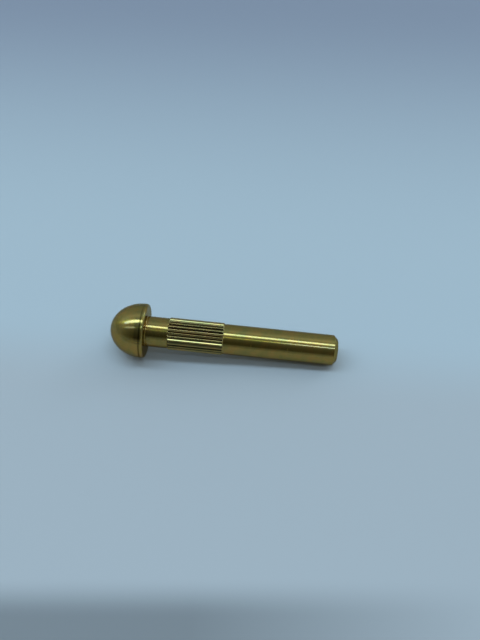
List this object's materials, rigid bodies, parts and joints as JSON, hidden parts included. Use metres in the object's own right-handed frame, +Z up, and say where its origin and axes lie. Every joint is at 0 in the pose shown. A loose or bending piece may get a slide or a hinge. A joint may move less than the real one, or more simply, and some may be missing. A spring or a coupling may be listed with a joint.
{
  "type": "hinge pin",
  "caption": "Turned brass hinge pin with a domed head, a plain neck, a straight-knurled band and a long plain shank with a chamfered tip.",
  "frame": {"origin": "on the surface that the pin lies on, under the middle of its length", "axes": "+X towards the tip, level along the surface, +Z up; the pin's own line drops 3.64 degrees from the head to the tip"},
  "size_m": [0.0596, 0.0142, 0.0143],
  "materials": {
    "turned_brass": "bright turned brass with fine tool marks round it, a little duller on the dome"
  },
  "bodies": {
    "root": {"hinge_pin": "turned_brass"}
  },
  "joints": []
}
